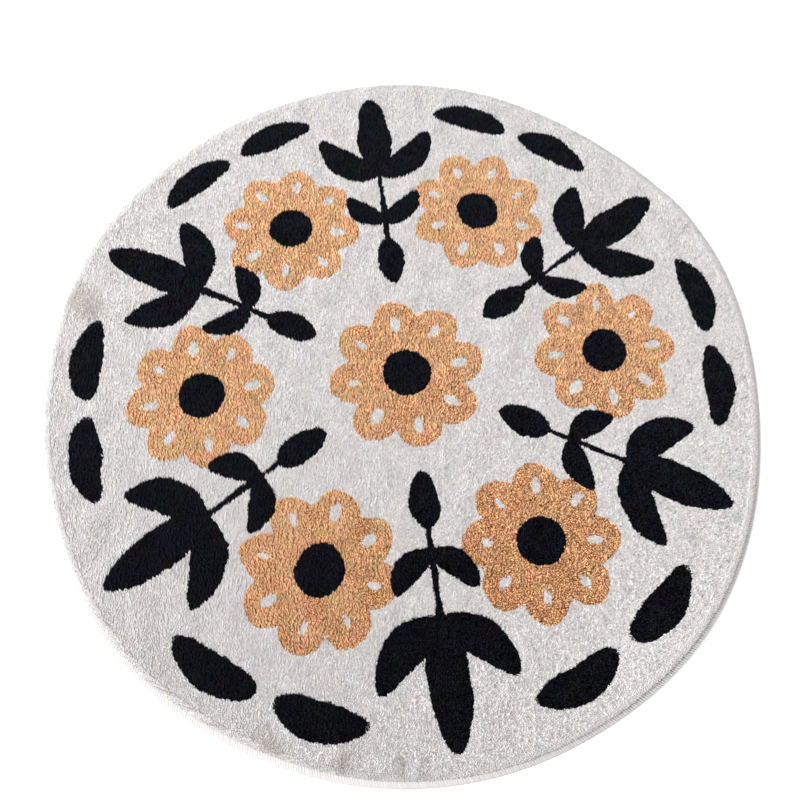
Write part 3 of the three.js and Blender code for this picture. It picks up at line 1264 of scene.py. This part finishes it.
def edging_section():
    """The edging's core, sunk a little inside its stitches, as (radius, height) rows: out over its
    top, round its outside, back underneath, and round the groove that the cloth's rim sits in."""
    inside, outside = EDGING_INSIDE + CORE_SUNK, RUG_RADIUS - CORE_SUNK
    top, bottom = EDGING_HEIGHT - CORE_SUNK, 0.6 * CORE_SUNK
    over_tongue = TONGUE_TOP + SEWING_GAP
    groove_end = RUG_RADIUS - YARN_OUTSIDE
    return [
        (inside, over_tongue + 0.0004),
        (EDGING_INSIDE + 0.0026, top),
        (RUG_RADIUS - 0.0028, top),
        (RUG_RADIUS - 0.0014, 0.0035),
        (outside, 0.0024),
        (RUG_RADIUS - 0.0014, 0.0014),
        (RUG_RADIUS - 0.0024, bottom),
        (inside, bottom),
        (inside, YARN_UNDER),
        (groove_end, YARN_UNDER),
        (groove_end, over_tongue),
        (inside, over_tongue),
    ]


def make_core(yarn):
    steps = ROUND_STEPS
    rows = edging_section()
    grid, _, _ = section_grid(rows, directions(steps))
    faces = []
    for row in range(len(rows)):
        faces += band_faces(row * steps, (row + 1) % len(rows) * steps, steps)
    mesh = new_mesh("edging_core", grid.reshape(-1, 3), faces)
    # The core is painted darker: painted shade between the stitches.
    set_point_values(mesh, "tone", np.full(len(mesh.vertices), CORE_PAINTED_SHADE))
    mesh.materials.append(yarn)
    return new_piece("edging_core", mesh)


def stitch_tree():
    """Sews one loop of yarn over the rim at each point: the loop follows a rounded oblong from the
    inside of the band, over its top and round its outside, to the inside of its underside."""
    tree, start, end = new_tree(
        "GeometryNodeTree",
        "overlock_stitches",
        [
            ("Places", "NodeSocketGeometry"),
            ("Half Width", "NodeSocketFloat"),
            ("Half Height", "NodeSocketFloat"),
            ("Yarn Radius", "NodeSocketFloat"),
            ("Slant", "NodeSocketFloat"),
            ("Yarn", "NodeSocketMaterial"),
        ],
        [("Stitches", "NodeSocketGeometry")],
    )
    line = add_node(tree, "GeometryNodeCurvePrimitiveLine", {"Start": (0, 0, 0), "End": (1, 0, 0)})
    path = add_node(
        tree, "GeometryNodeResampleCurve", {"Curve": line.outputs[0], "Count": STITCH_POINTS}
    )
    share = add_node(tree, "GeometryNodeSplineParameter").outputs["Factor"]
    angle = add_node(
        tree,
        "ShaderNodeMapRange",
        {0: share, 3: math.radians(STITCH_FROM_DEG), 4: math.radians(STITCH_TO_DEG)},
    ).outputs[0]
    sides = {}
    for label, operation in (("out", "COSINE"), ("up", "SINE")):
        wave = math_node(tree, operation, angle)
        size = math_node(tree, "POWER", math_node(tree, "ABSOLUTE", wave), 2 / STITCH_POWER)
        sides[label] = math_node(tree, "MULTIPLY", size, math_node(tree, "SIGN", wave))
    out = math_node(tree, "MULTIPLY", sides["out"], start.outputs["Half Width"])
    up = math_node(tree, "MULTIPLY", sides["up"], start.outputs["Half Height"])
    from_half = math_node(tree, "SUBTRACT", share, 0.5)
    aside = math_node(tree, "MULTIPLY", from_half, start.outputs["Slant"])
    place = add_node(tree, "ShaderNodeCombineXYZ", {0: out, 1: aside, 2: up})
    loop = add_node(
        tree, "GeometryNodeSetPosition", {"Geometry": path.outputs[0], "Position": place.outputs[0]}
    )
    section = add_node(
        tree,
        "GeometryNodeCurvePrimitiveCircle",
        {"Resolution": YARN_SIDES, "Radius": start.outputs["Yarn Radius"]},
    )
    fuller = math_node(tree, "MULTIPLY_ADD", sides["out"], FULLER_OUTSIDE, 1.0)
    shaped = add_node(
        tree, "GeometryNodeSetCurveRadius", {"Curve": loop.outputs[0], "Radius": fuller}
    )
    yarn = add_node(
        tree,
        "GeometryNodeCurveToMesh",
        {"Curve": shaped.outputs[0], "Profile Curve": section.outputs[0], "Fill Caps": True},
    )
    turn = add_node(tree, "GeometryNodeInputNamedAttribute", {"Name": "turn"}, data_type="FLOAT")
    about_up = add_node(
        tree, "FunctionNodeAxisAngleToRotation", {"Axis": (0, 0, 1), "Angle": turn.outputs["Attribute"]}
    )
    finish_growth(
        tree,
        start.outputs["Places"],
        yarn.outputs[0],
        about_up.outputs[0],
        (1.0, 1.0, 1.0),
        start.outputs["Yarn"],
        end,
    )
    return tree


def make_stitches(edging, yarn):
    count = round(2 * math.pi * RUG_RADIUS / edging.stitch_pitch)
    rng = np.random.default_rng(edging.seed)
    stray = rng.uniform(-STITCH_STRAY, STITCH_STRAY, count)
    angle = (np.arange(count) + stray) / count * 2 * np.pi
    radius = EDGING_INSIDE + EDGING_WIDTH / 2
    x, y = radius * np.cos(angle), radius * np.sin(angle)
    places = new_points("stitch_places", laid(x, y, np.full(count, EDGING_HEIGHT / 2)))
    set_point_values(places, "turn", angle + rng.normal(0, STITCH_TURN_STRAY, count))
    tone = 1 + rng.normal(0, STITCH_TONE_STRAY, count)
    # Painted shade on the stretches of the edging away from the lamp.
    for row in YARN_PAINTED_SHADE:
        tone = tone - row["strength"] * side_bump(angle, row)
    set_point_values(places, "tone", tone)
    values = {
        "Half Width": EDGING_WIDTH / 2 - (1 + FULLER_OUTSIDE) * edging.yarn_radius,
        "Half Height": EDGING_HEIGHT / 2 - STITCH_INSET * edging.yarn_radius,
        "Yarn Radius": edging.yarn_radius,
        "Slant": edging.slant,
        "Yarn": yarn,
    }
    return new_piece("overlock_stitches", grown("overlock_stitches", places, stitch_tree(), values))


# The studio.


def make_floor(colours, glow):
    """A flat square, a hair below the rug so that the two don't meet."""
    half = 9.0
    below = 0.0002
    material, _, shader = new_finish("studio_floor", roughness=0.9, specular=0.1)
    shader.inputs["Base Color"].default_value = opaque(colours.floor)
    shader.inputs["Emission Color"].default_value = opaque(colours.floor)
    shader.inputs["Emission Strength"].default_value = glow
    sides = ((-1, -1), (1, -1), (1, 1), (-1, 1))
    corners = np.array([[half * side_x, half * side_y, -below] for side_x, side_y in sides])
    mesh = new_mesh("floor", corners, [[0, 1, 2, 3]])
    mesh.materials.append(material)
    floor = new_piece("floor", mesh)


def place_lights(studio):
    """One square lamp turned towards the rug, and even light from all round."""
    lamp_colour = (1.0, 0.995, 0.985)
    sky_colour = (0.99, 0.995, 1.0)
    light = bpy.data.lights.new("key", "AREA")
    light.shape = "SQUARE"
    light.size = studio.key_size
    light.energy = studio.key_power
    light.color = lamp_colour
    key = bpy.data.objects.new("key", light)
    bpy.context.scene.collection.objects.link(key)
    side, rise = math.radians(studio.key_azimuth_deg), math.radians(studio.key_rise_deg)
    outward = Vector((math.cos(side) * math.cos(rise), math.sin(side) * math.cos(rise), math.sin(rise)))
    facing = outward.to_track_quat("Z", "Y").to_matrix().to_4x4()
    key.matrix_world = Matrix.Translation(studio.key_distance * outward) @ facing
    world = bpy.data.worlds.new("studio")
    world.use_nodes = True
    sky = world.node_tree.nodes["Background"]
    sky.inputs["Color"].default_value = opaque(sky_colour)
    sky.inputs["Strength"].default_value = studio.sky_strength
    bpy.context.scene.world = world


def place_camera(studio):
    """Looks down from the rug's near side, a little turned about its own line of sight."""
    rise, roll = math.radians(studio.camera_rise_deg), math.radians(studio.camera_roll_deg)
    back = Vector((0, -math.cos(rise), math.sin(rise)))
    level, upward = Vector((1, 0, 0)), Vector((0, math.sin(rise), math.cos(rise)))
    right = math.cos(roll) * level + math.sin(roll) * upward
    up = math.cos(roll) * upward - math.sin(roll) * level
    place = Vector(studio.camera_aim) + studio.camera_distance * back
    data = bpy.data.cameras.new("photo_view")
    data.sensor_width = 36.0
    data.lens = studio.lens_mm
    data.clip_start = 0.01
    camera = bpy.data.objects.new("photo_view", data)
    bpy.context.scene.collection.objects.link(camera)
    facing = Matrix((right, up, back)).transposed().to_4x4()
    camera.matrix_world = Matrix.Translation(place) @ facing
    bpy.context.scene.camera = camera


# Operators.


def settings_of(context):
    return context.scene.pile_rug


def finish_of(name):
    material = bpy.data.materials.get(name)
    if material is None:
        raise RuntimeError(f"mix the finishes first: {name} is missing")
    return material


class RUG_OT_mix_finishes(bpy.types.Operator):
    """Make the yarn, pile and cloth materials"""

    bl_idname = "rug.mix_finishes"
    bl_label = "Mix finishes"

    def execute(self, context):
        settings = settings_of(context)
        group = pile_colour_group()
        for yarn in YARNS:
            pile_finish(yarn, settings.colours, settings.pile, group)
        ground_finish(settings.colours)
        weave_finish(settings.colours)
        yarn_finish(settings.colours)
        return {"FINISHED"}


class RUG_OT_weave_cloth(bpy.types.Operator):
    """Make the woven cloth with the dense lower part of its pile"""

    bl_idname = "rug.weave_cloth"
    bl_label = "Weave cloth"

    def execute(self, context):
        cloth = make_cloth(above=finish_of("dense_wool"), below=finish_of("plain_weave"))
        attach(cloth, "root")
        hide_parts("pile_cloth")
        return {"FINISHED"}


class RUG_OT_plant_pile(bpy.types.Operator):
    """Plant the tufts of off-white, tan and black pile"""

    bl_idname = "rug.plant_pile"
    bl_label = "Plant pile"

    def execute(self, context):
        pile = settings_of(context).pile
        plan = tuft_plan(pile)
        tree = tuft_tree()
        for number, yarn in enumerate(YARNS):
            slot = "pile_" + yarn["colour"]
            finish = finish_of(yarn["colour"] + "_wool")
            sectors = np.floor(plan["turn_share"] * yarn["pieces"])
            for sector in range(yarn["pieces"]):
                chosen = (plan["yarn"] == number) & (sectors == sector)
                piece = plant_piece(f"{slot}_{sector + 1}", plan, chosen, pile, tree, finish)
                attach(piece, "root")
        return {"FINISHED"}


class RUG_OT_sew_edging(bpy.types.Operator):
    """Sew the overlock yarn over the rim"""

    bl_idname = "rug.sew_edging"
    bl_label = "Sew edging"

    def execute(self, context):
        yarn = finish_of("overlock_yarn")
        core = make_core(yarn)
        stitches = make_stitches(settings_of(context).edging, yarn)
        for piece in (core, stitches):
            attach(piece, "root")
        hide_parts("overlock_edging")
        return {"FINISHED"}


class RUG_OT_declare_cloth(bpy.types.Operator):
    """Returns at once; it declares nothing"""

    bl_idname = "rug.declare_cloth"
    bl_label = "Declare cloth"

    def execute(self, context):
        return {"FINISHED"}


class RUG_OT_set_studio(bpy.types.Operator):
    """Set up the floor, the lights and the camera"""

    bl_idname = "rug.set_studio"
    bl_label = "Set up studio"

    def execute(self, context):
        settings = settings_of(context)
        make_floor(settings.colours, settings.studio.floor_glow)
        place_lights(settings.studio)
        place_camera(settings.studio)
        context.scene.view_settings.view_transform = "Standard"
        return {"FINISHED"}


class RUG_PT_maker(bpy.types.Panel):
    """Sidebar panel with the rug's sizes and its steps"""

    bl_label = "Round pile rug"
    bl_space_type = "VIEW_3D"
    bl_region_type = "UI"
    bl_category = "Rug"

    def draw(self, context):
        settings = settings_of(context)
        for group in (settings.pile, settings.edging, settings.colours, settings.studio):
            box = self.layout.box()
            for name in group.bl_rna.properties.keys():
                if name not in ("rna_type", "name"):
                    box.prop(group, name)
        for operator in OPERATORS:
            self.layout.operator(operator.bl_idname)


SETTING_GROUPS = (RugPileSettings, RugColourSettings, RugEdgingSettings, RugStudioSettings, RugSettings)
OPERATORS = (
    RUG_OT_set_studio,
    RUG_OT_mix_finishes,
    RUG_OT_weave_cloth,
    RUG_OT_plant_pile,
    RUG_OT_sew_edging,
    RUG_OT_declare_cloth,
)
CLASSES = (*SETTING_GROUPS, *OPERATORS, RUG_PT_maker)


def register():
    for item in CLASSES:
        bpy.utils.register_class(item)
    bpy.types.Scene.pile_rug = PointerProperty(type=RugSettings)


def unregister():
    del bpy.types.Scene.pile_rug
    for item in reversed(CLASSES):
        bpy.utils.unregister_class(item)


def main():
    register()
    bpy.ops.rug.set_studio()
    bpy.ops.rug.mix_finishes()
    bpy.ops.rug.weave_cloth()
    bpy.ops.rug.plant_pile()
    bpy.ops.rug.sew_edging()
    bpy.ops.rug.declare_cloth()


if __name__ == "__main__":
    main()
